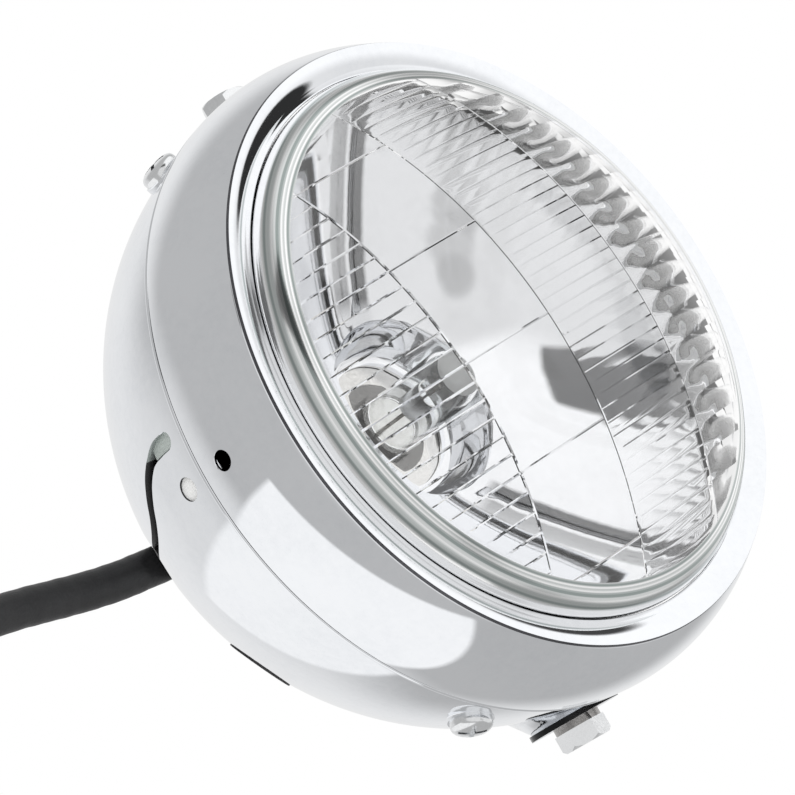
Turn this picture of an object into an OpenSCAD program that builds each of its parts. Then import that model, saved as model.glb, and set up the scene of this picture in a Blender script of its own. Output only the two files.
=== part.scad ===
// Round motorcycle headlight, about 7 inches across, with a chromed steel bowl and trim ring.
// Origin on the lamp axis midway between the two side bolts: +X to the right bolt as seen from
// the front, -Y to the front, +Z up. Depths are measured backwards from the crease of the ring.

/* [Trim ring] */
// Radius of the crease round the front face
ring_r = 90; // [88:0.5:94]
// Width of the front face, from the crease to where it holds the glass
face_w = 8; // [7:0.5:10]
// How far the inner edge of the front face lies behind the crease
ring_dish = 1.3; // [0.6:0.1:2]
// Height of the sharp step at the crease
ring_step = 0.8; // [0.4:0.1:1.5]
// How far the flank swells beyond the crease
ring_swell = 6.8; // [5.5:0.1:8]
// Depth of the widest part of the flank
belly_depth = 23; // [20:0.5:25]
// Depth of the rear edge
ring_depth = 30; // [28:0.5:34]
// Sheet thickness of the ring and the bowl
sheet = 1; // [0.7:0.1:1.2]
// Diameter of the hole at the bottom of the flank
ring_hole_d = 5.6; // [3:0.1:7]
// Depth of that hole behind the crease
ring_hole_depth = 19.6; // [16:0.1:22]

/* [Bowl] */
// How far the rim of the bowl stays inside the widest part of the ring
bowl_step = 1.8; // [1.6:0.1:2.3]
// Room between the bulb's socket and the back of the bowl
back_room = 28.2; // [20:0.1:40]
// Diameter of the drain hole at the bottom
drain_d = 6.5; // [4:0.1:8]
// Distance of the drain hole behind the joint
drain_gap = 7.8; // [6:0.1:12]
// Width of the wiring slot
slot_w = 3.6; // [2.5:0.1:5]
// Diameter of the cable hole at the end of the slot
cable_hole_d = 19; // [16:0.5:22]
// Height of the turned-in lip of the slot
slot_lip = 5; // [3:0.5:7]
// Diameter of the second wiring hole
side_hole_d = 20; // [16:0.5:24]
// Angle of the second wiring hole from the bottom
side_hole_angle = 35; // [30:1:40]

/* [Glass] */
// How far the edge of the glass reaches behind the front face
glass_lap = 4.6; // [4:0.1:5]
// Thickness of the glass
glass_t = 3.6; // [3:0.1:4]
// Radius where the rounded shoulder meets the dome
shoulder_r = 75; // [73:0.5:76]
// How far the dome starts ahead of the crease
shoulder_rise = 5.5; // [4:0.1:7]
// Radius of curvature of the dome
dome_r = 130; // [125:1:150]
// Spacing of the flutes in the lower band
flute_gap = 5; // [4:0.1:8]
// Spacing of the flutes in the upper bands
fine_gap = 4; // [3:0.1:6]
// Depth of the flute lines inside the glass
flute_depth = 0.7; // [0.3:0.1:1]
// How far the glass and reflector are turned in the ring
unit_roll = -6.4; // [-10:0.1:10]

/* [Reflector] */
// Focal length of the reflector
focal = 39; // [36:0.5:42]
// Width of the reflector's flange
flange_w = 8.6; // [7:0.1:10]
// Radius of the well round the bulb
well_r = 27; // [25:0.5:29]
// Depth of that well
well_depth = 13; // [10:0.5:16]
// Radius of the bulb hole
bulb_hole_r = 19; // [18:0.5:20]

/* [Fasteners] */
// Depth of the side bolts behind the crease
bolt_depth = 50; // [47:0.5:54]
// Radius of the side bolt thread
bolt_r = 4; // [3.5:0.1:4]
// Hexagon across flats of the side bolts and their nuts
hex_af = 13; // [12:0.5:14]
// Diameter of the large flat washers
washer_d = 27; // [24:0.5:30]
// Distance of the ring screws behind the joint
screw_gap = 11.5; // [10:0.5:14]
// Angle of each ring screw from the bottom
screw_angle = 62.5; // [58:0.5:68]
// Radius of the ring screw thread
screw_r = 2.5; // [2:0.1:3]
// Diameter of the pan heads
screw_head_d = 11.5; // [9:0.5:13]

/* [Cable] */
// Diameter of the cable sleeve
cable_d = 10.5; // [9:0.1:11]
// Diameter of the separate leads
lead_d = 2.4; // [2:0.1:2.8]

/* [Hidden] */

fit = 0.3;      // air between pieces that meet
eps = 0.01;
smooth_fn = 96; // of the large turned shapes
small_fn = 32;

ring_in_r = ring_r - face_w;
glass_r = ring_in_r + glass_lap;
reflector_r = glass_r - flange_w;
belly_r = ring_r + ring_swell;
bowl_r = belly_r - bowl_step;
drain_depth = ring_depth + drain_gap;
screw_depth = ring_depth + screw_gap;

// Profiles of pressed sheet: an outline [radius, depth] and its inner side

function unit(v) = v / norm(v);
function along(p, i) = unit(p[min(i + 1, len(p) - 1)] - p[max(i - 1, 0)]);
function shifted(p, t) = [for (i = [0:len(p) - 1]) let (v = along(p, i)) p[i] + t * [-v[1], v[0]]];
function backwards(p) = [for (i = [len(p) - 1:-1:0]) p[i]];
function arc(c, r, a0, a1, steps) = [for (i = [0:steps]) let (a = a0 + (a1 - a0) * i / steps)
    c + r * [cos(a), sin(a)]];

module turned(profile, fn = smooth_fn) {
    rotate_extrude($fn = fn)
        polygon([for (p = profile) [max(p[0], 0), -p[1]]]);
}

// From the lamp's own axis, +Z forwards with the crease at zero, to the part's frame
module on_axis() {
    translate([0, -bolt_depth, 0])
        rotate([90, 0, 0])
            children();
}

// Round the axis: angle from the bottom, counted towards the right bolt; +Z then points outwards
module at_side(angle, depth, radius) {
    rotate([0, 0, angle - 90])
        translate([radius, 0, -depth])
            rotate([0, 90, 0])
                children();
}

module rolled() {
    rotate([0, 0, -unit_roll])
        children();
}

// Trim ring outline: a turned-in lip, the dished face, the step and the swelling flank
flank_r = ring_r + 0.3;
flank_d = ring_step + 0.3;
flank_arc = (pow(belly_r - flank_r, 2) + pow(belly_depth - flank_d, 2)) / (2 * (belly_r - flank_r));
flank_c = belly_r - flank_arc;
function flank_at(d) = flank_c + sqrt(pow(flank_arc, 2) - pow(d - belly_depth, 2));
lip_end = ring_dish + 1 + sheet;
ring_outline = concat(
    [[ring_in_r, lip_end], [ring_in_r, ring_dish + 1]],
    arc([ring_in_r + 1, ring_dish + 1], 1, 180, 262, 4),
    [[ring_r - 0.5, 0], [ring_r, 0.3], [ring_r, ring_step]],
    [for (i = [0:16]) let (d = flank_d + (ring_depth - flank_d) * i / 16) [flank_at(d), d]]);
ring_inside = concat(
    [[ring_in_r + sheet, lip_end], [ring_r - 0.8, sheet + 0.4], [flank_r - sheet + 0.3, flank_d + sheet]],
    [for (i = [2:16]) let (d = flank_d + (ring_depth - flank_d) * i / 16) [flank_at(d) - sheet, d]]);

module trim_ring() {
    color("silver")
        on_axis()
            difference() {
                turned(concat(ring_outline, backwards(ring_inside)));
                at_side(0, ring_hole_depth, ring_r)
                    cylinder(d = ring_hole_d, h = 2 * ring_swell, $fn = small_fn);
            }
}

// Depths of the light unit, one piece behind the other, and of the bowl behind them
glass_front = lip_end + fit;
glass_edge_t = 4;
seal_front = glass_front + glass_edge_t;
seal_t = 1.5;
reflector_front = seal_front + seal_t;
reflector_t = 0.8;
reflector_vertex = reflector_front + 1 + pow(reflector_r, 2) / (4 * focal);
function reflector_at(r) = reflector_vertex - r * r / (4 * focal);
well_front = reflector_at(well_r);
well_back = well_front + well_depth;
flange_front = well_back + reflector_t + fit;
cap_l = 12;
blade_front = flange_front + cap_l;
socket_front = blade_front + fit;
socket_l = 18;
socket_back = socket_front + socket_l;
bowl_depth = socket_back + back_room;

// Bowl outline: a curled front edge inside the ring, a short straight rim and a half ellipse
bowl_long = bowl_depth - ring_depth;
curl_w = 6;
bowl_front = ring_depth - curl_w;
function bowl_at(d) = bowl_r * sqrt(1 - pow((d - ring_depth) / bowl_long, 2));
bowl_outline = concat(
    [[bowl_r - 4, bowl_front], [bowl_r - 2, bowl_front]],
    arc([bowl_r - 2, bowl_front + 1.5], 1.5, -90, -20, 3),
    [[bowl_r - 0.4, ring_depth - 3]],
    [for (i = [0:22]) let (a = 90 * i / 22) [bowl_r * cos(a), ring_depth + bowl_long * sin(a)]]);
bowl_back = len(bowl_outline) - 1;
function bowl_inner(t) = [for (i = [0:bowl_back]) i == bowl_back ? [0, bowl_depth - t] : shifted(bowl_outline, t)[i]];

// The room inside the bowl's outer skin, t deep
module bowl_space(t) {
    turned(concat([[0, ring_depth], [bowl_r - t, ring_depth]],
        [for (i = [1:22]) let (a = 90 * i / 22) [(bowl_r - t) * cos(a), ring_depth + (bowl_long - t) * sin(a)]]));
}

// Wiring slot: its middle line as [x, distance behind the joint], seen from below
slot_way = [[-13.4, 9], [-13.2, 15], [-11.6, 19.5], [-8.6, 24], [-4.6, 28.6], [-0.2, 33.4], [3, 40], [5, 50]];
slot_line = [for (p = slot_way) p + [0, ring_depth]];
cable_x = 6;
cable_depth = ring_depth + 58;
function slot_side(t) = concat(
    [for (i = [0:len(slot_line) - 1]) let (v = along(slot_line, i)) slot_line[i] + t * [-v[1], v[0]]],
    [for (i = [len(slot_line) - 1:-1:0]) let (v = along(slot_line, i)) slot_line[i] - t * [-v[1], v[0]]]);

module slot_shape(extra) {
    linear_extrude(height = bowl_r + eps)
        polygon([for (p = slot_side(slot_w / 2 + extra)) [p[0], -p[1]]]);
    translate([cable_x, -cable_depth, 0])
        cylinder(d = cable_hole_d + 2 * extra, h = bowl_r + eps, $fn = 48);
    translate([slot_line[0][0], -slot_line[0][1], 0])
        cylinder(d = slot_w + 2 * extra, h = bowl_r + eps, $fn = small_fn);
}

// Turns the slot from its flat drawing down through the bottom of the bowl
module down_through() {
    rotate([90, 0, 0])
        children();
}

side_hole_depth = ring_depth + 54;
side_hole_r = bowl_at(side_hole_depth);

module bowl_holes() {
    down_through()
        slot_shape(0);
    at_side(0, drain_depth, bowl_r - 10)
        cylinder(d = drain_d, h = 20, $fn = small_fn);
    for (side = [-1, 1])
        at_side(side * 90, bolt_depth, bowl_r - 12)
            cylinder(r = bolt_r + fit, h = 20, $fn = small_fn);
    for (side = [-1, 1])
        at_side(side * screw_angle, screw_depth, bowl_r - 12)
            cylinder(r = screw_r + fit, h = 20, $fn = small_fn);
    side_hole_place()
        translate([0, 0, -12])
            cylinder(d = side_hole_d, h = 30, $fn = 48);
}

// Square to the sloping wall of the bowl at the second wiring hole
side_hole_lean = atan2(side_hole_r * pow(bowl_long, 2), (side_hole_depth - ring_depth) * pow(bowl_r, 2));
module side_hole_place() {
    rotate([0, 0, side_hole_angle - 90])
        translate([side_hole_r, 0, -side_hole_depth])
            rotate([0, 180 - side_hole_lean, 0])
                children();
}

module bowl() {
    color("silver")
        on_axis()
            difference() {
                union() {
                    turned(concat(bowl_outline, backwards(bowl_inner(sheet))));
                    for (side = [-1, 1])
                        at_side(side * 90, bolt_depth, pad_in)
                            cylinder(d = washer_d - 2, h = pad_out - pad_in, $fn = 48);
                    for (side = [-1, 1])
                        at_side(side * screw_angle, screw_depth, screw_pad_in)
                            cylinder(d = screw_head_d + 1, h = screw_pad_out - screw_pad_in, $fn = small_fn);
                    intersection() {
                        down_through()
                            slot_shape(sheet);
                        difference() {
                            bowl_space(sheet / 2);
                            bowl_space(slot_lip);
                        }
                    }
                }
                bowl_holes();
            }
}

// Glass: flat edge behind the ring's face, round shoulder, dome, and flute lines cut from the inside
dome_c = -shoulder_rise + sqrt(pow(dome_r, 2) - pow(shoulder_r, 2));
glass_neck_r = ring_in_r - fit;
shoulder_tilt = asin(shoulder_r / dome_r);
function dome_arc(r, a0, steps) = [for (i = [0:steps]) let (a = a0 * (1 - i / steps)) [r * sin(a), dome_c - r * cos(a)]];
glass_outline = concat(
    [[glass_r, glass_front + glass_edge_t], [glass_r, glass_front], [glass_neck_r, glass_front],
     [glass_neck_r - 0.3, 0.6], [glass_neck_r - 1.2, -1.6], [glass_neck_r - 3.2, -3.9],
     [shoulder_r, -shoulder_rise]],
    dome_arc(dome_r, shoulder_tilt * 0.94, 12));
neck_in = glass_neck_r - glass_t;
band_low = -47.7;
band_mid = -18;
band_top = 19;

// Hollow behind the glass, left smaller by the flute lines
module glass_hollow(t) {
    intersection() {
        translate([0, 0, -dome_c])
            sphere(r = dome_r - t, $fn = smooth_fn);
        turned([[0, glass_front + glass_edge_t + 1], [neck_in, glass_front + glass_edge_t + 1], [neck_in, 1.5],
            [neck_in - 1.6, 0], [neck_in - 4.6, -2], [0, -2 - dome_r]]);
    }
}

line_w = 0.8;
clear_gap = 6 * flute_gap;

module flute_lines(low, high, gap, shift) {
    half = ceil(glass_r / gap);
    for (i = [-half:half])
        translate([i * gap + shift - line_w / 2, low, 0])
            cube([line_w, high - low, dome_r]);
}

module flutes() {
    flute_lines(-glass_r, band_low, flute_gap, flute_gap / 2);
    flute_lines(band_low, band_mid, clear_gap, flute_gap / 2);
    flute_lines(band_mid, band_top, fine_gap, 0);
    flute_lines(band_top, glass_r, fine_gap, fine_gap / 2);
    for (y = [band_low, band_mid, band_top])
        translate([-glass_r, y - line_w / 2, 0])
            cube([2 * glass_r, line_w, dome_r]);
}

module lens_glass() {
    color("aliceblue", 0.35)
        on_axis()
            rolled()
                difference() {
                    turned(concat([[0, glass_front + glass_edge_t]], glass_outline));
                    glass_hollow(glass_t);
                    difference() {
                        glass_hollow(glass_t - flute_depth);
                        flutes();
                    }
                }
}

// Rubber ring between the glass and the reflector
module lens_seal() {
    color("dimgray")
        on_axis()
            turned([[neck_in + 1, seal_front], [glass_r, seal_front], [glass_r, seal_front + seal_t],
                [neck_in + 1, seal_front + seal_t]]);
}

// Reflector: flange, paraboloid, the well round the bulb and the two raised folds
reflector_outline = concat(
    [[glass_r, reflector_front], [reflector_r + 0.6, reflector_front]],
    [for (i = [0:14]) let (r = reflector_r + (well_r - reflector_r) * i / 14) [r, reflector_at(r)]],
    [[well_r - 1, well_front + 1.6], [bulb_hole_r + 3, well_back - 1], [bulb_hole_r + 1, well_back],
     [bulb_hole_r, well_back]]);
fold_angles = [14, 173];
pilot_at = 40;
pilot_hole_r = 5;

module fold_ridge(angle) {
    rotate([0, 0, angle - 1.4])
        rotate_extrude(angle = 2.8, $fn = smooth_fn)
            polygon([for (p = concat(
                [for (i = [1:13]) let (r = reflector_r + (well_r - reflector_r) * i / 14) [r, reflector_at(r) + 0.2]],
                [for (i = [13:-1:1]) let (r = reflector_r + (well_r - reflector_r) * i / 14) [r, reflector_at(r) - 1.2]]))
                [p[0], -p[1]]]);
}

// Square to the reflector at the parking bulb, +Z into the beam
module pilot_place() {
    rotate([0, 0, -90])
        translate([pilot_at, 0, -reflector_at(pilot_at)])
            rotate([0, -atan(pilot_at / (2 * focal)), 0])
                children();
}

module reflector() {
    color("gainsboro")
        on_axis()
            rolled()
                difference() {
                    union() {
                        turned(concat(reflector_outline, backwards(shifted(reflector_outline, -reflector_t))));
                        for (a = fold_angles)
                            fold_ridge(a);
                    }
                    pilot_place()
                        translate([0, 0, -10])
                            cylinder(r = pilot_hole_r, h = 20, $fn = small_fn);
                }
}

// Round spring clips that press the light unit against the ring
clip_angles = [25, 115, 180, 245, 335];
clip_front = reflector_front + reflector_t + fit;
clip_in = reflector_r + 4;
clip_t = 1;
clip_bend = 5;
clip_foot = bowl_front - clip_front - 1.8;
clip_reach = flank_at(clip_front + clip_bend + clip_t) - sheet - fit;
module unit_clips() {
    color("darkgray")
        on_axis()
            for (a = clip_angles)
                rotate([0, 0, a - 94])
                    rotate_extrude(angle = 8, $fn = smooth_fn)
                        polygon([[clip_in, -clip_front], [glass_r, -clip_front],
                            [clip_reach, -clip_front - clip_bend], [clip_reach, -clip_front - clip_foot],
                            [clip_reach - clip_t, -clip_front - clip_foot],
                            [clip_reach - clip_t, -clip_front - clip_bend - clip_t],
                            [glass_r - clip_t / 2, -clip_front - clip_t], [clip_in, -clip_front - clip_t]]);
}

// Twin-filament bulb, seated by its flange behind the well
bulb_r = 8.5;
bulb_t = 0.8;
bulb_l = 35;
bulb_tip = flange_front - bulb_l;
cap_r = 10;
blade_l = 9;
blade_places = [[0, 5], [-6, -3], [6, -3]];
blade_size = [6, 0.8];
function bulb_end(t) = [for (a = [0:15:90])
    [(bulb_r - t) * pow(max(cos(a), 0), 0.6), bulb_tip + t + (6 - t) * (1 - sin(a))]];
module bulb_glass() {
    color("lightcyan", 0.5)
        on_axis()
            turned(concat([[bulb_r, flange_front - 4]], bulb_end(0), backwards(bulb_end(bulb_t)),
                [[bulb_r - bulb_t, flange_front - 4]]), small_fn);
}

module bulb_cap() {
    color("silver")
        on_axis() {
            turned([[0, flange_front - 3.9], [cap_r, flange_front - 3.9], [cap_r, flange_front],
                [bulb_hole_r + 2.5, flange_front], [bulb_hole_r + 2.5, flange_front + 1], [cap_r, flange_front + 1],
                [cap_r, blade_front], [0, blade_front]], small_fn * 2);
            for (p = blade_places)
                translate([p[0] - blade_size[0] / 2, p[1] - blade_size[1] / 2, -blade_front - blade_l])
                    cube([blade_size[0], blade_size[1], blade_l + 0.2]);
        }
}

module bulb_shield() {
    color("gray")
        on_axis()
            translate([0, 0, -bulb_tip - 22])
                difference() {
                    cylinder(r = 4.2, h = 9, $fn = small_fn);
                    translate([0, 0, -1])
                        cylinder(r = 3.7, h = 11, $fn = small_fn);
                    translate([-6, 0, -1])
                        cube([12, 6, 11]);
                }
}

module filaments() {
    color("goldenrod")
        on_axis()
            for (x = [-1, 1])
                let (top = x > 0 ? 19 : 8)
                    translate([0, 1.4 * x + 0.2, -bulb_tip - top]) {
                        translate([0, 0, -5])
                            cylinder(r = 0.6, h = 5, $fn = 16);
                        translate([0, 0, bulb_tip + top - flange_front + 4.1])
                            cylinder(r = 0.3, h = flange_front - 4.1 - bulb_tip - top - 4.9, $fn = 16);
                    }
}

// Wire ring that holds the bulb's flange down
module bulb_spring() {
    color("darkgray")
        on_axis() {
            translate([0, 0, -flange_front - 1 - fit - 0.7])
                rotate_extrude($fn = 48)
                    translate([bulb_hole_r - 3, 0])
                        circle(r = 0.7, $fn = 16);
            for (x = [-1, 1])
                translate([x * (bulb_hole_r - 3), 0, -flange_front - 1 - fit - 0.7])
                    rotate([0, 90 * x, 0])
                        cylinder(r = 0.7, h = 12, $fn = 16);
        }
}

module bulb_socket() {
    color("ivory")
        on_axis()
            difference() {
                translate([-13, -8, -socket_back])
                    cube([26, 17, socket_back - socket_front]);
                for (p = blade_places)
                    translate([p[0] - blade_size[0] / 2 - fit, p[1] - blade_size[1] / 2 - fit,
                        -blade_front - blade_l - fit])
                        cube([blade_size[0] + 2 * fit, blade_size[1] + 2 * fit, blade_l + 1]);
            }
}

// Soft cover over the back of the bulb
boot_front = flange_front + 3.2;
module rubber_boot() {
    color("black")
        on_axis()
            turned([[cap_r + fit, boot_front + 1], [bulb_hole_r + 4, boot_front], [bulb_hole_r + 4, boot_front + 2],
                [cap_r + 6, boot_front + 5], [cap_r + 5, blade_front], [cap_r + fit, blade_front]], small_fn * 2);
}

// Parking bulb in the lower half of the reflector
module pilot_holder() {
    color("silver")
        on_axis()
            rolled()
                pilot_place()
                    difference() {
                        union() {
                            translate([0, 0, -14])
                                cylinder(r = 4.6, h = 15, $fn = small_fn);
                            translate([0, 0, -5])
                                cylinder(r = 7, h = 2, $fn = small_fn);
                        }
                        translate([0, 0, -6])
                            cylinder(r = 3.4, h = 8, $fn = small_fn);
                    }
}

module pilot_bulb() {
    color("lightcyan", 0.6)
        on_axis()
            rolled()
                pilot_place()
                    translate([0, 0, -5.9]) {
                        cylinder(r = 3.2, h = 8, $fn = small_fn);
                        translate([0, 0, 8])
                            sphere(r = 3.2, $fn = small_fn);
                    }
}

// Side bolts with their washers outside, plates and nuts inside
pad_out = bowl_at(bolt_depth) + 2.3;
plate_d = 17;
pad_in = bowl_at(bolt_depth + plate_d / 2) - sheet - 0.6;
washer_t = 1.6;
lock_t = 2;
head_t = 5.3;
plate_t = 2;
nut_t = 6.5;
hex_r = hex_af / 2 / cos(30);

module both_sides() {
    on_axis()
        for (side = [-1, 1])
            at_side(side * 90, bolt_depth, 0)
                children();
}

module hexagon(r, h) {
    intersection() {
        cylinder(r = r, h = h, $fn = 6);
        cylinder(r1 = r + h - 0.9, r2 = r - 0.9, h = h, $fn = small_fn);
    }
}

module flat_washers() {
    color("silver")
        both_sides()
            translate([0, 0, pad_out])
                difference() {
                    cylinder(d = washer_d, h = washer_t, $fn = 48);
                    translate([0, 0, -1])
                        cylinder(r = bolt_r + 0.2, h = washer_t + 2, $fn = small_fn);
                }
}

module spring_washers() {
    color("darkgray")
        both_sides()
            translate([0, 0, pad_out + washer_t])
                difference() {
                    cylinder(r = hex_af / 2 + 0.4, h = lock_t, $fn = 48);
                    translate([0, 0, -1])
                        cylinder(r = bolt_r + 0.2, h = lock_t + 2, $fn = small_fn);
                    rotate([0, 0, 200])
                        translate([0, -0.6, -1])
                            rotate([12, 0, 0])
                                cube([hex_af, 1.2, lock_t + 4]);
                }
}

module side_bolts() {
    color("silver")
        both_sides() {
            translate([0, 0, pad_in - plate_t - nut_t - 2])
                cylinder(r = bolt_r, h = pad_out + washer_t + lock_t - pad_in + plate_t + nut_t + 2.5, $fn = small_fn);
            translate([0, 0, pad_out + washer_t + lock_t])
                rotate([0, 0, 18])
                    hexagon(hex_r, head_t);
        }
}

module bolt_plates() {
    color("silver")
        both_sides()
            translate([0, 0, pad_in - plate_t])
                difference() {
                    cylinder(d = plate_d, h = plate_t, $fn = small_fn);
                    translate([0, 0, -1])
                        cylinder(r = bolt_r + fit, h = plate_t + 2, $fn = small_fn);
                }
}

module bolt_nuts() {
    color("silver")
        both_sides()
            translate([0, 0, pad_in - plate_t - nut_t])
                difference() {
                    cylinder(r = hex_r, h = nut_t, $fn = 6);
                    translate([0, 0, -1])
                        cylinder(r = bolt_r + 0.05, h = nut_t + 2, $fn = small_fn);
                }
}

// Ring screws: pan heads outside the bowl, tabs of the ring and their nuts inside
screw_pad_out = bowl_at(screw_depth) + 0.7;
screw_pad_in = bowl_r - 4.4;
tab_out = screw_pad_in - fit;
tab_t = 1.5;
tab_w = 14;
tab_foot = belly_depth - 9;
small_nut_t = 4;

module both_screws(r) {
    on_axis()
        for (side = [-1, 1])
            at_side(side * screw_angle, screw_depth, r)
                children();
}

module ring_tabs() {
    color("darkgray")
        on_axis()
            for (side = [-1, 1])
                rotate([0, 0, side * screw_angle - 90])
                    difference() {
                        union() {
                            translate([tab_out - tab_t, -tab_w / 2, -screw_depth - tab_w / 2])
                                cube([tab_t, tab_w, screw_depth + tab_w / 2 - tab_foot]);
                            intersection() {
                                translate([tab_out - tab_t, -tab_w / 2, -tab_foot - tab_t])
                                    cube([tab_w, tab_w, tab_t]);
                                translate([0, 0, -tab_foot - tab_t])
                                    cylinder(r = flank_at(tab_foot) - sheet - 0.1, h = tab_t, $fn = smooth_fn);
                            }
                        }
                        translate([tab_out - 4, 0, -screw_depth])
                            rotate([0, 90, 0])
                                cylinder(r = screw_r + fit, h = 8, $fn = small_fn);
                    }
}

module ring_nuts() {
    color("silver")
        both_screws(tab_out - tab_t - small_nut_t)
            difference() {
                cylinder(r = screw_r * 1.85, h = small_nut_t, $fn = 6);
                translate([0, 0, -1])
                    cylinder(r = screw_r + 0.05, h = small_nut_t + 2, $fn = small_fn);
            }
}

screw_slot_w = 1.3;
module ring_screws() {
    color("silver")
        both_screws(0) {
            translate([0, 0, tab_out - tab_t - small_nut_t - 1.5])
                cylinder(r = screw_r, h = screw_pad_out - tab_out + tab_t + small_nut_t + 2, $fn = small_fn);
            translate([0, 0, screw_pad_out])
                difference() {
                    rotate_extrude($fn = small_fn)
                        polygon(concat([[0, 0], [screw_head_d / 2, 0], [screw_head_d / 2, 1.2]],
                            [for (a = [20:14:90]) [screw_head_d / 2 * pow(cos(a), 0.7), 1.2 + 2.2 * sin(a)]]));
                    for (a = [30, 120])
                        rotate([0, 0, a])
                            translate([-screw_head_d / 3, -screw_slot_w / 2, 1.9])
                                cube([screw_head_d / 1.5, screw_slot_w, 3]);
                }
        }
}

// Rubber round the cable where it leaves the bowl, and the plug in the second hole
module slot_grommet() {
    color("black")
        on_axis()
            intersection() {
                down_through()
                    translate([cable_x, -cable_depth, 0])
                        difference() {
                            cylinder(d = cable_hole_d - 2 * fit, h = bowl_r, $fn = 48);
                            translate([0, 0, -1])
                                cylinder(d = cable_d + 2 * fit + 0.6, h = bowl_r + 2, $fn = small_fn);
                        }
                difference() {
                    bowl_space(fit);
                    bowl_space(slot_lip + 1);
                }
            }
}

plug_l = 4.5;
module hole_plug() {
    color("black")
        on_axis()
            side_hole_place() {
                translate([0, 0, -plug_l])
                    cylinder(d = side_hole_d - 2 * fit, h = plug_l - 0.1, $fn = 48);
                translate([0, 0, -plug_l])
                    cylinder(d1 = side_hole_d + 1, d2 = side_hole_d + 4, h = plug_l - 2.2, $fn = 48);
            }
}

// Tubes: a ring of points square to the route at each of its points
function ring_round(c, dir, r, sides) =
    let (side_v = unit(cross(dir, abs(dir[0]) > 0.9 ? [0, 1, 0] : [1, 0, 0])), up_v = cross(side_v, dir))
    [for (k = [0:sides - 1]) c + r * (cos(360 * k / sides) * side_v + sin(360 * k / sides) * up_v)];
module tube(route, d, sides) {
    n = len(route);
    points = [for (i = [0:n - 1]) each ring_round(route[i], along(route, i), d / 2, sides)];
    walls = [for (i = [0:n - 2], k = [0:sides - 1]) let (m = (k + 1) % sides)
        [i * sides + k, i * sides + m, (i + 1) * sides + m, (i + 1) * sides + k]];
    first = [[for (k = [sides - 1:-1:0]) k]];
    last = [[for (k = [0:sides - 1]) (n - 1) * sides + k]];
    polyhedron(points = points, faces = concat(walls, first, last), convexity = 6);
}

// Leads inside the bowl, from the socket to the sleeve: [x, y, z] in the part's frame
lead_socket_y = socket_back - bolt_depth;
lead_route = [[0, 0, 0], [0, 4, 0], [0, 8, -3], [0, 9.5, -9], [0, 8, -17], [0, 4, -27], [0, -0.5, -38],
    [0, -3, -47], [0, -3.5, -54]];
lead_top = [4, lead_socket_y + fit, -1.5];
lead_spread = [[-6, 0], [0, 5], [6, 0]];
module inner_leads() {
    color("firebrick")
        for (s = lead_spread)
            tube([for (i = [0:len(lead_route) - 1]) let (w = 1 - i / (len(lead_route) - 1))
                lead_top - [4 * w, 0, 0] + lead_route[i] + [s[0] * (0.32 + 0.68 * w), s[1] * 0.3, s[1] * w]],
                lead_d, 8);
}

// Cable sleeve: it hangs from the bottom of the bowl to its plug
cable_route = [[6, 38, -57], [6, 38, -66], [6, 38, -76], [6, 38.2, -86], [5.2, 38.8, -97], [4, 39, -108],
    [2.8, 38.5, -120], [2, 38, -134], [1.4, 37.5, -150], [1, 37, -168], [0.6, 36.5, -188], [0.4, 36.2, -208],
    [0.2, 36, -230], [0, 36, -252], [0, 36, -274], [0, 36, -300]];
cable_end = cable_route[len(cable_route) - 1];
module cable_sleeve() {
    color("black")
        tube(cable_route, cable_d, 12);
}

end_spread = [[-2.6, 0], [2.6, 0], [0, 2.6], [0, -2.6]];
plug_top = -332;
module lead_ends() {
    color("firebrick")
        for (s = end_spread)
            translate([cable_end[0] + s[0], cable_end[1] + s[1], 0])
                translate([0, 0, plug_top])
                    cylinder(d = lead_d, h = cable_end[2] - plug_top, $fn = 16);
}

module cable_tie() {
    color("black")
        translate([cable_end[0], cable_end[1], cable_end[2] + 10]) {
            difference() {
                cylinder(r = cable_d / 2 + 1.6, h = 4.5, $fn = small_fn);
                translate([0, 0, -1])
                    cylinder(r = cable_d / 2 + 0.1, h = 7, $fn = small_fn);
            }
            translate([cable_d / 2 + 1, -3, -0.5])
                cube([4, 6, 5.5]);
        }
}

plug_size = [20, 13, 24];
module lead_plug() {
    color("white")
        translate([cable_end[0], cable_end[1], plug_top - plug_size[2]])
            difference() {
                translate([-plug_size[0] / 2, -plug_size[1] / 2, 0])
                    cube(plug_size);
                translate([-plug_size[0] / 2 + 1.4, -plug_size[1] / 2 + 1.4, -1])
                    cube([plug_size[0] - 2.8, plug_size[1] - 2.8, 15]);
            }
}

module plug_pins() {
    color("gold")
        for (x = [-6, 0, 6])
            translate([cable_end[0] + x, cable_end[1], plug_top - plug_size[2] + 3])
                cylinder(d = 2.3, h = 11, $fn = 16);
}

bowl();
trim_ring();
lens_glass();
lens_seal();
reflector();
unit_clips();
bulb_glass();
bulb_cap();
bulb_shield();
filaments();
bulb_spring();
bulb_socket();
rubber_boot();
pilot_bulb();
pilot_holder();
bolt_plates();
bolt_nuts();
flat_washers();
spring_washers();
side_bolts();
ring_tabs();
ring_nuts();
ring_screws();
slot_grommet();
hole_plug();
inner_leads();
cable_sleeve();
lead_ends();
cable_tie();
lead_plug();
plug_pins();
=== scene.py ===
import math

import bmesh
import bpy
from mathutils import Matrix, Vector


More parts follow.
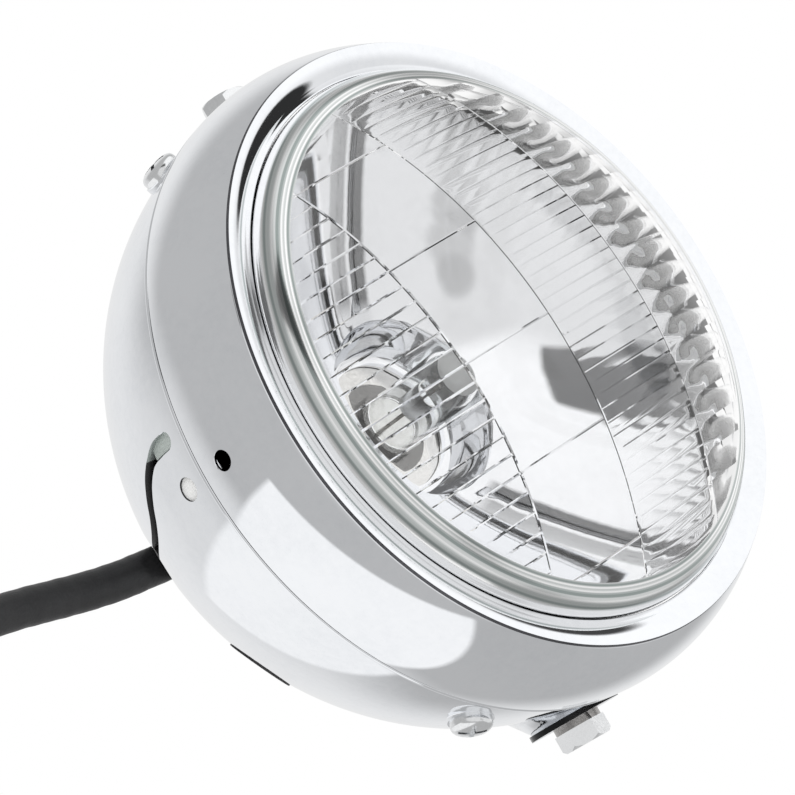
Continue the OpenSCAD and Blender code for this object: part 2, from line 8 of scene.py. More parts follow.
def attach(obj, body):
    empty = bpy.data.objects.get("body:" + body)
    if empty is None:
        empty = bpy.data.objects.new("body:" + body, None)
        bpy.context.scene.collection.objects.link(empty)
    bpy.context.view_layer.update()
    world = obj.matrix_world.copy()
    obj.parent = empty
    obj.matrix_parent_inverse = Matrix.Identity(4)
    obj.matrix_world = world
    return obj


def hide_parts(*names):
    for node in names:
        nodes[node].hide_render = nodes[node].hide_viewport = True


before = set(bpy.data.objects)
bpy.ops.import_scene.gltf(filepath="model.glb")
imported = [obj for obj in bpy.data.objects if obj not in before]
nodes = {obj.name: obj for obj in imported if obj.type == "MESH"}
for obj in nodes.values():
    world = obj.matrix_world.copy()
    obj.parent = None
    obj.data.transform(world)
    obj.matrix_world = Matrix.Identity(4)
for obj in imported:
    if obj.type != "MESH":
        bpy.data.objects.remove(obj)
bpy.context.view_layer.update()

# Camera: below and in front of the lamp, looking up at its glass and rolled to the side, with the long
# lens of the photograph. A real one would be held by hand under the hanging lamp.
camera_data = bpy.data.cameras.new("camera")
camera_data.lens = 135.85
camera_data.sensor_width = 36
camera_data.clip_start = 0.02
camera = bpy.data.objects.new("camera", camera_data)
bpy.context.scene.collection.objects.link(camera)
camera.matrix_world = Matrix((
    (0.4899, -0.8605, 0.1396, 0.1114),
    (-0.5847, -0.4431, -0.6796, -0.5672),
    (0.6466, 0.2513, -0.7202, -0.5993),
    (0, 0, 0, 1)))
bpy.context.scene.camera = camera
bpy.context.scene.view_settings.view_transform = "Standard"

# Cable sleeve: a soft black sleeve of plastic round the leads, 10.5 mm thick. It leaves the bowl
# through its rubber and hangs down to the plug, held together at its end by a tie.
CABLE_ROUTE = [(6, 38, -57), (6, 38, -66), (6, 38, -76), (6, 38.2, -86), (5.2, 38.8, -97), (4, 39, -108),
               (2.8, 38.5, -120), (2, 38, -134), (1.4, 37.5, -150), (1, 37, -168), (0.6, 36.5, -188),
               (0.4, 36.2, -208), (0.2, 36, -230), (0, 36, -252), (0, 36, -274), (0, 36, -300)]
CABLE_R = 5.25
BOLT_DEPTH = 50  # the side bolts' axis, which is the origin, lies this far behind the crease of the ring


def mm(x, depth, z):
    """A point of the lamp, in metres: across, behind the crease of the ring, and up."""
    return Vector((x / 1000, (depth - BOLT_DEPTH) / 1000, z / 1000))


def new_piece(name, bm, material=None, crease=35):
    """Makes an object of a finished bmesh, smooth but for the edges sharper than the crease angle."""
    bmesh.ops.recalc_face_normals(bm, faces=bm.faces)
    limit = math.radians(crease)
    for face in bm.faces:
        face.smooth = True
    for edge in bm.edges:
        edge.smooth = len(edge.link_faces) == 2 and edge.calc_face_angle(0) < limit
    mesh = bpy.data.meshes.new(name)
    bm.to_mesh(mesh)
    bm.free()
    piece = bpy.data.objects.new(name, mesh)
    bpy.context.scene.collection.objects.link(piece)
    if material:
        mesh.materials.append(material)
    return piece


def smooth_route(points, steps):
    """Finer points on one smooth line through the given ones."""
    out = []
    for i in range(len(points) - 1):
        p = [Vector(points[min(max(k, 0), len(points) - 1)]) for k in (i - 1, i, i + 1, i + 2)]
        for s in range(steps):
            t = s / steps
            out.append(0.5 * (2 * p[1] + (p[2] - p[0]) * t + (2 * p[0] - 5 * p[1] + 4 * p[2] - p[3]) * t * t
                              + (3 * p[1] - p[0] - 3 * p[2] + p[3]) * t ** 3))
    return out + [Vector(points[-1])]


def tube(bm, route, radii, sides):
    """Rings of vertices along a route, joined to a closed tube."""
    side = Vector((1, 0, 0))
    for i, point in enumerate(route):
        ahead = (route[min(i + 1, len(route) - 1)] - route[max(i - 1, 0)]).normalized()
        side = (side - ahead * side.dot(ahead)).normalized()
        up = ahead.cross(side)
        place = Matrix((side, up, ahead)).transposed().to_4x4()
        place.translation = point
        ring = bmesh.ops.create_circle(bm, segments=sides, radius=radii[i], matrix=place)["verts"]
        if i:
            for k in range(sides):
                bm.faces.new((last[k], last[(k + 1) % sides], ring[(k + 1) % sides], ring[k]))
        else:
            bm.faces.new(list(reversed(ring)))
        last = ring
    bm.faces.new(last)


def material_of(name, colour, roughness, metallic=0.0):
    """A Principled material with its node tree, shader and Object coordinates at hand."""
    material = bpy.data.materials.new(name)
    material.use_nodes = True
    tree = material.node_tree
    shader = tree.nodes["Principled BSDF"]
    shader.inputs["Base Color"].default_value = (*colour, 1)
    shader.inputs["Roughness"].default_value = roughness
    shader.inputs["Metallic"].default_value = metallic
    place = tree.nodes.new("ShaderNodeTexCoord")
    return material, tree, shader, place.outputs["Object"]


def feed(tree, socket, value):
    """Links the output of another node to a socket, or sets a constant there."""
    if isinstance(value, bpy.types.NodeSocket):
        tree.links.new(value, socket)
    else:
        socket.default_value = value


def ramp_of(tree, value, low, high, form="LINEAR"):
    """A share that grows from 0 at the low value to 1 at the high one."""
    ramp = tree.nodes.new("ShaderNodeMapRange")
    ramp.interpolation_type = form
    for name, number in (("Value", value), ("From Min", low), ("From Max", high)):
        feed(tree, ramp.inputs[name], number)
    return ramp.outputs[0]


def two_by(tree, operation, first, second):
    """One number out of two, by a Math node."""
    both = tree.nodes.new("ShaderNodeMath")
    both.operation = operation
    feed(tree, both.inputs[0], first)
    feed(tree, both.inputs[1], second)
    return both.outputs[0]


def colour_mix(tree, share, first, second, blend="MIX"):
    """Two colours mixed by a share."""
    mix = tree.nodes.new("ShaderNodeMix")
    mix.data_type = "RGBA"
    mix.blend_type = blend
    for index, value in ((0, share), (6, first), (7, second)):
        feed(tree, mix.inputs[index], value)
    return mix.outputs[2]


def grey(tone):
    return (tone, tone, tone, 1)


def surface_group():
    """Fine handling marks and specks of dust: a mask, a roughness and a height that change over the surface."""
    group = bpy.data.node_groups.new("handling_marks", "ShaderNodeTree")
    for name, value in (("Grain per metre", 900.0), ("Rough low", 0.04), ("Rough high", 0.12)):
        socket = group.interface.new_socket(name, in_out="INPUT", socket_type="NodeSocketFloat")
        socket.default_value = value
    group.interface.new_socket("Place", in_out="INPUT", socket_type="NodeSocketVector")
    for name in ("Roughness", "Mask", "Height"):
        group.interface.new_socket(name, in_out="OUTPUT", socket_type="NodeSocketFloat")
    start = group.nodes.new("NodeGroupInput")
    end = group.nodes.new("NodeGroupOutput")
    grain = group.nodes.new("ShaderNodeTexNoise")
    grain.inputs["Detail"].default_value = 5
    grain.inputs["Roughness"].default_value = 0.65
    blotch = group.nodes.new("ShaderNodeTexNoise")
    blotch.inputs["Scale"].default_value = 45
    blotch.inputs["Detail"].default_value = 3
    rough = group.nodes.new("ShaderNodeMapRange")
    link = group.links.new
    link(start.outputs["Place"], grain.inputs["Vector"])
    link(start.outputs["Grain per metre"], grain.inputs["Scale"])
    link(start.outputs["Place"], blotch.inputs["Vector"])
    mask = ramp_of(group, two_by(group, "MULTIPLY", grain.outputs["Fac"], blotch.outputs["Fac"]), 0.15, 0.42)
    link(mask, rough.inputs["Value"])
    link(start.outputs["Rough low"], rough.inputs["To Min"])
    link(start.outputs["Rough high"], rough.inputs["To Max"])
    link(rough.outputs[0], end.inputs["Roughness"])
    link(mask, end.inputs["Mask"])
    link(grain.outputs["Fac"], end.inputs["Height"])
    return group


HANDLING = surface_group()


def finish_of(name, colour, dark, low, high, grain=900.0, metallic=0.0, bump=0.05, depth=0.0001):
    """A material whose colour, roughness and grain come from the handling marks."""
    material, tree, shader, place = material_of(name, colour, low, metallic)
    marks = tree.nodes.new("ShaderNodeGroup")
    marks.node_tree = HANDLING
    for socket, value in (("Place", place), ("Grain per metre", grain), ("Rough low", low),
                          ("Rough high", high)):
        feed(tree, marks.inputs[socket], value)
    relief = tree.nodes.new("ShaderNodeBump")
    for socket, value in (("Strength", bump), ("Distance", depth), ("Height", marks.outputs["Height"])):
        feed(tree, relief.inputs[socket], value)
    feed(tree, shader.inputs["Base Color"], colour_mix(tree, marks.outputs["Mask"], (*colour, 1), (*dark, 1)))
    feed(tree, shader.inputs["Roughness"], marks.outputs["Roughness"])
    feed(tree, shader.inputs["Normal"], relief.outputs["Normal"])
    return material


sleeve_black = finish_of("sleeve_black", (0.012, 0.012, 0.013), (0.03, 0.03, 0.031), 0.42, 0.6, 1500, 0, 0.35,
                         0.0003)
route = [Vector(p) / 1000 for p in smooth_route(CABLE_ROUTE, 12)]
swell = [CABLE_R / 1000 * (1 + 0.012 * math.sin(i * 0.9) * math.sin(i * 0.23 + 1)) for i in range(len(route))]
bm = bmesh.new()
tube(bm, route, swell, 24)
soft_sleeve = new_piece("soft_sleeve", bm, sleeve_black, 50)
for part in (soft_sleeve, nodes["lead_ends"], nodes["cable_tie"], nodes["lead_plug"], nodes["plug_pins"]):
    part.visible_glossy = False
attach(soft_sleeve, "root")
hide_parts("cable_sleeve")

# Trim ring: one pressing of thin steel, polished and chromed. Its dished face holds the glass, a sharp
# crease runs round it, and its flank swells to the joint with the bowl. One small hole at the bottom.
RING_HOLE_DEPTH = 19.6
RING_HOLE_R = 2.8
FLANK_R = 40.14
FLANK_CENTRE = (56.66, 23)  # radius and depth of the middle of the flank's arc
FLANK_END = 28


def radius_and_depth(co):
    """How far a point lies from the lamp's axis and behind the crease, in mm."""
    return math.hypot(co.x, co.z) * 1000, co.y * 1000 + BOLT_DEPTH


def flank_at(depth):
    """Outer radius of the ring's flank."""
    return FLANK_CENTRE[0] + math.sqrt(FLANK_R ** 2 - (depth - FLANK_CENTRE[1]) ** 2)


def flank_line(start, end, steps, sheet=0):
    """The flank's line between two depths, or the same line a sheet's thickness further in."""
    return [(flank_at(d) - sheet, d) for d in (start + (end - start) * i / steps for i in range(steps + 1))]


def arc(centre, radius, start, end, steps):
    """Points of a round stretch between two angles in degrees."""
    return [(centre[0] + radius * math.cos(math.radians(start + (end - start) * i / steps)),
             centre[1] + radius * math.sin(math.radians(start + (end - start) * i / steps)))
            for i in range(steps + 1)]


def turned(bm, outline, steps):
    """Spins a closed outline of (radius, depth) points in mm round the lamp's axis."""
    line = [bm.verts.new(mm(r, d, 0)) for r, d in outline]
    edges = [bm.edges.new((a, b)) for a, b in zip(line, line[1:] + line[:1])]
    bmesh.ops.spin(bm, geom=line + edges, cent=(0, 0, 0), axis=(0, 1, 0), angle=2 * math.pi, steps=steps,
                   use_merge=True)
    bmesh.ops.remove_doubles(bm, verts=bm.verts, dist=1e-7)


def inward(outline, t):
    """The same line, t further in."""
    out = []
    for i, p in enumerate(outline):
        a, b = outline[max(i - 1, 0)], outline[min(i + 1, len(outline) - 1)]
        dr, dd = b[0] - a[0], b[1] - a[1]
        size = math.hypot(dr, dd)
        out.append((p[0] - t * dd / size, p[1] + t * dr / size))
    return out


def at_side(angle, depth, radius):
    """A place on the lamp's side: angle from the bottom towards +X, +Z pointing outwards."""
    a = math.radians(angle)
    out = Vector((math.sin(a), 0, -math.cos(a)))
    back = Vector((0, 1, 0))
    place = Matrix((back.cross(out), back, out)).transposed().to_4x4()
    place.translation = mm(radius * out.x, depth, radius * out.z)
    return place


def rod(bm, place, r1, r2, low, high, sides=48):
    """A round bar along +Z of a place, in mm."""
    middle = Matrix.Translation((0, 0, (low + high) / 2000))
    return bmesh.ops.create_cone(bm, cap_ends=True, segments=sides, radius1=r1 / 1000, radius2=r2 / 1000,
                                 depth=(high - low) / 1000, matrix=place @ middle)["verts"]


def combine(piece, bm, operation):
    """Cuts a second shape out of a piece, or adds it."""
    tool = new_piece("tool", bm)
    modifier = piece.modifiers.new("combine", "BOOLEAN")
    modifier.operation = operation
    modifier.solver = "EXACT"
    modifier.object = tool
    bpy.context.view_layer.update()
    result = bpy.data.meshes.new_from_object(piece.evaluated_get(bpy.context.evaluated_depsgraph_get()))
    piece.modifiers.remove(modifier)
    old = piece.data
    name = old.name
    piece.data = result
    bpy.data.meshes.remove(old)
    result.name = name
    bpy.data.objects.remove(tool)


def true_skin(piece, normal_at):
    """Gives a cut pressing the normals of its drawn skin, so its mirror stays smooth round the holes."""
    mesh = piece.data
    normals = [n.vector.copy() for n in mesh.corner_normals]
    for face in mesh.polygons:
        for loop in face.loop_indices:
            n = normal_at(mesh.vertices[mesh.loops[loop].vertex_index].co)
            if n and n.dot(face.normal) > 0.94:
                normals[loop] = n
    mesh.normals_split_custom_set(normals)


def chrome_of(name, tone):
    """Bright chrome: a mirror with faint polish marks and a few dull specks."""
    dull_and_painted_shade = [part * share for part, share in zip(tone, (0.94, 0.945, 0.95))]
    return finish_of(name, tone, dull_and_painted_shade, 0.025, 0.075, 420, 1.0, 0.012, 0.0002)


chrome_ring = chrome_of("chrome_ring", (0.925, 0.94, 0.965))
ring_line = ([(82, 3.3), (82, 2.6)] + arc((82.7, 2.4), 0.7, 180, 250, 6)
             + [(83.4 + 6.2 * i / 12, 0.12 + 1.5 * ((12 - i) / 12) ** 1.7) for i in range(13)]
             + [(89.85, 0.12), (89.97, 0.3), (90, 0.7), (90.1, 1.0)]
             + flank_line(1.15, FLANK_END, 48)
             + [(95.85, 28.2), (95.85, 28.5)] + arc((95.7, 29.2), 0.75, -62, 78, 9))
ring_back = [(83, 3.3), (89, 1.9), (90, 2.4)] + flank_line(3, 30, 36, 1)


def ring_skin(co):
    """The normal of the flank's arc at a point on it."""
    r, d = radius_and_depth(co)
    if 1.1 < d < FLANK_END + 0.05 and abs(r - flank_at(d)) < 0.1:
        out = 1000 * (r - FLANK_CENTRE[0]) / r
        return Vector((co.x * out, d - FLANK_CENTRE[1], co.z * out)).normalized()


bm = bmesh.new()
turned(bm, ring_line + ring_back[::-1], 288)
pressed_ring = new_piece("pressed_ring", bm, chrome_ring, 40)
bm = bmesh.new()
rod(bm, at_side(0, RING_HOLE_DEPTH, 90), RING_HOLE_R, RING_HOLE_R, 0, 14)
combine(pressed_ring, bm, "DIFFERENCE")
true_skin(pressed_ring, ring_skin)
# Painted shade: a near-black finish on the faces of the crease round the face, of the groove behind the flank
# and of the gap past the rear bead, standing in for the shade in them.
painted_crease_shade = finish_of("painted_crease_shade", (0.1, 0.1, 0.11), (0.05, 0.05, 0.055), 0.35, 0.6, 1500, 0.6, 0.1)
pressed_ring.data.materials.append(painted_crease_shade)
for face in pressed_ring.data.polygons:
    r, d = radius_and_depth(face.center)
    crease = 89.9 < r < 90.2 and 0.2 < d < 1.1
    groove = r > 95.6 and FLANK_END < d < 28.53
    if crease or groove or r > 95.6 and d > 29.86:
        face.material_index = 1
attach(pressed_ring, "root")
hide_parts("trim_ring")

# Bowl: deep-drawn steel, chromed like the ring. Its front edge is curled under the ring. Pressed pads
# carry the bolts and screws, and the wiring leaves by a slanting slot with a turned-in lip.
BOWL_R = 95
BOWL_START = 30
BOWL_LONG = 87
SLOT_LINE = [(-13.7, 37.8), (-13.6, 42), (-13, 45.5), (-11.4, 49.5), (-8.6, 54), (-4.6, 58.6), (-0.2, 63.4),
             (3, 70), (5, 80)]
SLOT_W = 3.6
SLOT_SPREAD = 0.7  # the upper end is this much wider to each side
CABLE_X = 6
CABLE_DEPTH = 88
CABLE_HOLE_R = 9.5
PAST_BOTTOM = 95.1
PAD_FOOT_R = 19
PAD_TOP_R = 12.5
PAD_TOP = 94.75  # distance of the bolt pads' tops from the lamp's axis
BOLT_HOLE_R = 4.3
SCREW_DEPTH = 41.5
SCREW_ANGLE = 62.5
SCREW_PAD_R = 6.25
SCREW_HOLE_R = 2.8
DRAIN_DEPTH = 37.8
DRAIN_R = 3.25
SIDE_HOLE_DEPTH = 84
SIDE_HOLE_ANGLE = 35
SIDE_HOLE_R = 10


def bowl_line(t, steps):
    """The bowl's half ellipse from front to back, t inside its skin."""
    turns = [math.pi / 2 * i / steps for i in range(steps + 1)]
    return [((BOWL_R - t) * math.cos(a), BOWL_START + (BOWL_LONG - t) * math.sin(a)) for a in turns]


def bowl_at(depth):
    """Outer radius of the bowl."""
    return BOWL_R * math.sqrt(1 - ((depth - BOWL_START) / BOWL_LONG) ** 2)


def slot_shape(bm, extra):
    """The slot's outline with its round ends, drawn down through the bottom of the bowl."""
    fine = smooth_route([(x, d, 0) for x, d in SLOT_LINE], 5)
    left, right = [], []
    for i, p in enumerate(fine):
        ahead = (fine[min(i + 1, len(fine) - 1)] - fine[max(i - 1, 0)]).normalized()
        wide = SLOT_W / 2 + extra + SLOT_SPREAD * min(max((48 - p.y) / 5, 0), 1)
        across = Vector((-ahead.y, ahead.x, 0)) * wide
        left.append(p + across)
        right.append(p - across)
    start = fine[0]
    ahead = fine[1] - start
    first = Vector((-ahead.y, ahead.x, 0)).normalized() * (SLOT_W / 2 + SLOT_SPREAD + extra)
    round_end = [start + Matrix.Rotation(math.radians(180 * k / 10), 3, "Z") @ first for k in range(1, 10)]
    outline = left[::-1] + round_end + right
    face = bm.faces.new([bm.verts.new(mm(p.x, p.y, 0)) for p in outline])
    down = bmesh.ops.extrude_face_region(bm, geom=[face])["geom"]
    low = [v for v in down if isinstance(v, bmesh.types.BMVert)]
    bmesh.ops.translate(bm, vec=(0, 0, -PAST_BOTTOM / 1000), verts=low)


def cable_hole(bm, extra):
    """The round hole that the slot ends in, by the cable."""
    place = Matrix.Translation(mm(CABLE_X, CABLE_DEPTH, 0))
    rod(bm, place, CABLE_HOLE_R + extra, CABLE_HOLE_R + extra, -PAST_BOTTOM, 0, 64)


chrome_bowl = chrome_of("chrome_bowl", (0.905, 0.92, 0.945))
rim = [(91, 24), (93, 24)] + arc((93, 25.5), 1.5, -90, -20, 5) + [(94.7, 27)]
bm = bmesh.new()
turned(bm, rim + bowl_line(0, 64) + bowl_line(1, 64)[::-1] + inward(rim, 1)[::-1][:-2] + [(91, 25)], 256)
pressed_bowl = new_piece("pressed_bowl", bm, chrome_bowl, 40)
bm = bmesh.new()
for side in (-1, 1):
    rod(bm, at_side(side * 90, BOLT_DEPTH, 0), PAD_FOOT_R, PAD_TOP_R, 86, PAD_TOP, 64)
    rod(bm, at_side(side * SCREW_ANGLE, SCREW_DEPTH, 0), SCREW_PAD_R, SCREW_PAD_R, 90.6,
        bowl_at(SCREW_DEPTH) + 0.7)
combine(pressed_bowl, bm, "UNION")
for shape in (slot_shape, cable_hole):
    bm = bmesh.new()
    turned(bm, bowl_line(0.5, 40) + bowl_line(5, 40)[::-1], 180)
    lip = new_piece("lip", bm)
    bm = bmesh.new()
    shape(bm, 1)
    combine(lip, bm, "INTERSECT")
    bm = bmesh.new()
    bm.from_mesh(lip.data)
    bpy.data.objects.remove(lip)
    combine(pressed_bowl, bm, "UNION")
for shape in (slot_shape, cable_hole):
    bm = bmesh.new()
    shape(bm, 0)
    combine(pressed_bowl, bm, "DIFFERENCE")
side_r = bowl_at(SIDE_HOLE_DEPTH)
lean = math.atan2(side_r * BOWL_LONG ** 2, (SIDE_HOLE_DEPTH - BOWL_START) * BOWL_R ** 2)
side_hole = at_side(SIDE_HOLE_ANGLE, SIDE_HOLE_DEPTH, side_r) @ Matrix.Rotation(lean - math.pi / 2, 4, "X")
bm = bmesh.new()
rod(bm, at_side(0, DRAIN_DEPTH, 0), DRAIN_R, DRAIN_R, 85, 105)
for side in (-1, 1):
    rod(bm, at_side(side * 90, BOLT_DEPTH, 0), BOLT_HOLE_R, BOLT_HOLE_R, 80, 105)
    rod(bm, at_side(side * SCREW_ANGLE, SCREW_DEPTH, 0), SCREW_HOLE_R, SCREW_HOLE_R, 80, 105)
rod(bm, side_hole, SIDE_HOLE_R, SIDE_HOLE_R, -12, 18, 64)
combine(pressed_bowl, bm, "DIFFERENCE")


def bowl_skin(co):
    """The normal of the bowl's ellipse at a point on it."""
    r, d = radius_and_depth(co)
    back = d - BOWL_START
    if back > 0 and abs((r / BOWL_R) ** 2 + (back / BOWL_LONG) ** 2 - 1) < 0.004:
        out = 1000 / BOWL_R ** 2
        return Vector((co.x * out, back / BOWL_LONG ** 2, co.z * out)).normalized()


true_skin(pressed_bowl, bowl_skin)
# Painted shade: a near-black finish on the walls of the drain hole and on the turned-in lip inside the slot and
# the cable hole, standing in for the shade there.
painted_hole_shade = finish_of("painted_hole_shade", (0.02, 0.02, 0.021), (0.05, 0.05, 0.05), 0.5, 0.75, 1400, 0.3, 0.2)
pressed_bowl.data.materials.append(painted_hole_shade)
# Painted reflection: a lit, grey-green finish on the lip at the upper end of the slot, standing in for the
# light it catches.
painted_lit_lip = finish_of("painted_lit_lip", (0.36, 0.4, 0.385), (0.28, 0.31, 0.3), 0.4, 0.6, 1400, 0.4, 0.2)
pressed_bowl.data.materials.append(painted_lit_lip)
for face in pressed_bowl.data.polygons:
    co = face.center * 1000
    skin = bowl_skin(face.center)
    inside_lip = abs(co.x) < 19 and co.z < -50 and -10.5 < co.y < 50
    in_drain = (abs(co.x) < DRAIN_R + 0.15 and abs(co.y + BOLT_DEPTH - DRAIN_DEPTH) < DRAIN_R + 0.15
                and -94.9 < co.z < -93.4)
    if in_drain and abs(face.normal.z) < 0.4:
        face.material_index = 1
    if inside_lip and not (skin and skin.dot(face.normal) > 0.9):
        face.material_index = 2 if co.x < -8 and co.y < 0 else 1
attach(pressed_bowl, "root")
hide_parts("bowl")

# Slot liner: a strip of grey rubber behind the upper end of the wiring slot, where the leads would chafe.
# It is glued to the inside of the bowl.
liner_grey = finish_of("liner_grey", (0.5, 0.55, 0.52), (0.4, 0.44, 0.42), 0.4, 0.6, 1600, 0, 0.2)
bm = bmesh.new()
grid = [[bm.verts.new(mm(x, d, -math.sqrt((bowl_at(d) - 1.6) ** 2 - x * x))) for x in (-17.4, -14.6, -11.9)]
        for d in (35, 38, 41, 44, 47)]
for a, b in zip(grid, grid[1:]):
    for k in range(2):
        bm.faces.new((a[k], a[k + 1], b[k + 1], b[k]))
bmesh.ops.recalc_face_normals(bm, faces=bm.faces)
bmesh.ops.solidify(bm, geom=list(bm.faces), thickness=0.0006)
slot_liner = new_piece("slot_liner", bm, liner_grey)
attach(slot_liner, "root")

# Drain baffle: a small pale disc clipped under the bowl's drain hole, so that water runs out but no spray
# gets in. Moulded of white plastic.
DRAIN_DISC_R = 5.6
drain_white = finish_of("drain_white", (0.93, 0.93, 0.92), (0.86, 0.86, 0.85), 0.4, 0.55, 1400, 0, 0.1)
bm = bmesh.new()
rod(bm, at_side(0, DRAIN_DEPTH, 0), DRAIN_DISC_R, DRAIN_DISC_R, 92.6, 93.66)
drain_disc = new_piece("drain_disc", bm, drain_white)
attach(drain_disc, "root")

# Glass: pressed clear glass with a flat edge, a rounded shoulder and a shallow dome. Its inner side has wide
# round flutes in the top band and upright ribs below, with a level line between each two bands.
GLASS_ROLL = math.radians(-6.4)
DOME_R = 130
DOME_C = 100.68
GLASS_T = 3.6
BANDS = (-44.3, -14.5, 22)
LINE_RISE = 0.17
FLUTE_W = 7
FLUTE_SHIFT = 1.6
FLUTE_RISE = 0.42
LOW_GAP, CLEAR_GAP, FINE_GAP = 5.0, 30.0, 3.5
RIBS = {FINE_GAP: 0.12, LOW_GAP: 0.17, CLEAR_GAP: 0.2}  # height of the ribs at each spacing
RIB_SHIFT = 2.5
RIB_W = 0.35
HALF = 78  # half the width of the fluted sheet
HOLLOW_BACK = 12  # the hollow behind the glass is cut to this depth


def flute_height(x, z):
    """How far the moulding stands back from the inner dome, in mm, at a place on the glass."""
    if z > BANDS[2] + 0.3:
        t = ((x - FLUTE_SHIFT) / FLUTE_W + 0.5) % 1 * 2 - 1
        return FLUTE_RISE * (1 - t * t) * min(1, (z - BANDS[2]) / 10)
    if min(abs(z - b) for b in BANDS) < 0.1:
        return LINE_RISE
    gap = LOW_GAP if z < BANDS[0] else CLEAR_GAP if z < BANDS[1] else FINE_GAP
    off = abs((x - RIB_SHIFT + gap / 2) % gap - gap / 2)
    lens = 0.05 * off * (gap - off) / (gap / 2) ** 2 if gap == FINE_GAP else 0
    return lens + RIBS[gap] * max(0, 1 - off / RIB_W)


glass_outline = ([(0, 7.6), (86.6, 7.6), (86.6, 3.6), (81.7, 3.6), (81.6, 1.8), (81.4, 0.6), (81.05, -0.6),
                  (80.5, -1.6), (79.7, -2.7), (78.5, -3.9), (77, -4.8), (75, -5.5)]
                 + [(DOME_R * math.sin(a), DOME_C - DOME_R * math.cos(a))
                    for a in (math.asin(75 / DOME_R) * (1 - i / 40) for i in range(1, 41))])
bm = bmesh.new()
turned(bm, glass_outline, 256)
fluted_glass = new_piece("fluted_glass", bm)
bm = bmesh.new()
rows = sorted([z for z in range(-HALF, HALF + 1, 3) if min(abs(z - b) for b in BANDS) > 1]
              + [b + e for b in BANDS for e in (-0.4, 0, 0.4)])
ribs = {round(RIB_SHIFT + gap * k + e, 3) for gap in RIBS for k in range(-24, 24) for e in (-RIB_W, 0, RIB_W)}
ribs = sorted(x for x in ribs if abs(x) < 77.9)
columns = sorted(ribs + [-77.9 + i for i in range(157) if min(abs(-77.9 + i - x) for x in ribs) > 0.3])
bmesh.ops.create_grid(bm, x_segments=len(columns) - 1, y_segments=len(rows) - 1, size=HALF)
for v in bm.verts:
    x = columns[round((v.co.x + HALF) / (2 * HALF) * (len(columns) - 1))]
    z = rows[round((v.co.y + HALF) / (2 * HALF) * (len(rows) - 1))]
    r = min(math.hypot(x, z), 110)
    inner = DOME_C - math.sqrt((DOME_R - GLASS_T) ** 2 - r * r)
    v.co = mm(x, inner + flute_height(x, z), z)
for v in bmesh.ops.extrude_face_region(bm, geom=list(bm.faces))["geom"]:
    if isinstance(v, bmesh.types.BMVert):
        v.co.y = mm(0, HOLLOW_BACK, 0).y
hollow = new_piece("hollow", bm)
bm = bmesh.new()
turned(bm, [(0, HOLLOW_BACK), (77.6, HOLLOW_BACK), (77.6, 1.5), (76.4, -0.2), (73.5, -2.2), (73.5, -60),
            (0, -60)], 192)
combine(hollow, bm, "INTERSECT")
bm = bmesh.new()
bm.from_mesh(hollow.data)
bpy.data.objects.remove(hollow)
combine(fluted_glass, bm, "DIFFERENCE")
bm = bmesh.new()
bm.from_mesh(fluted_glass.data)
bmesh.ops.rotate(bm, verts=bm.verts, cent=(0, 0, 0), matrix=Matrix.Rotation(GLASS_ROLL, 3, "Y"))
bpy.data.objects.remove(fluted_glass)
clear_glass, _, shader, _ = material_of("clear_glass", (1, 1, 1), 0.0)
shader.inputs["Transmission Weight"].default_value = 1.0
shader.inputs["IOR"].default_value = 1.5
fluted_glass = new_piece("fluted_glass", bm, clear_glass, 16)


def radius_in(tree, place, keep):
    """Distance from an axis: keep is 0 along the axis and 1 across it."""
    across = tree.nodes.new("ShaderNodeVectorMath")
    across.operation = "MULTIPLY"
    across.inputs[1].default_value = keep
    size = tree.nodes.new("ShaderNodeVectorMath")
    size.operation = "LENGTH"
    tree.links.new(place, across.inputs[0])
    tree.links.new(across.outputs[0], size.inputs[0])
    return size.outputs["Value"]


def clear_where(tree, shader, share):
    """Lets the surface vanish by a share."""
    clear = tree.nodes.new("ShaderNodeBsdfTransparent")
    mixed = tree.nodes.new("ShaderNodeMixShader")
    for index, value in enumerate((share, shader.outputs[0], clear.outputs[0])):
        feed(tree, mixed.inputs[index], value)
    feed(tree, tree.nodes["Material Output"].inputs["Surface"], mixed.outputs[0])


# Painted reflection: the outer shoulder of the glass gets a mirror finish with grey-green and pale streaks
# round the axis, standing in for the light and shade seen in that band of the glass.
painted_rim_reflection, tree, shader, place = material_of("painted_rim_reflection", (0.7, 0.75, 0.74), 0.16, 1.0)
shader.inputs["Coat Weight"].default_value = 1.0
painted_streaks = tree.nodes.new("ShaderNodeTexNoise")
painted_streaks.noise_dimensions = "1D"
for socket, value in (("Scale", 520), ("Detail", 4), ("W", radius_in(tree, place, (1, 0, 1)))):
    feed(tree, painted_streaks.inputs[socket], value)
painted_pale_lines = ramp_of(tree, painted_streaks.outputs["Fac"], 0.36, 0.6)
feed(tree, shader.inputs["Base Color"], colour_mix(tree, painted_pale_lines, (0.3, 0.345, 0.335, 1), grey(1)))
clear_where(tree, shader, tree.nodes.new("ShaderNodeNewGeometry").outputs["Backfacing"])
fluted_glass.data.materials.append(painted_rim_reflection)
for face in fluted_glass.data.polygons:
    r, d = radius_and_depth(face.center)
    if r > 77.8 and d < 7.5 or r > 75.3 and d < -3.5:
        face.material_index = 1
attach(fluted_glass, "root")
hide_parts("lens_glass")

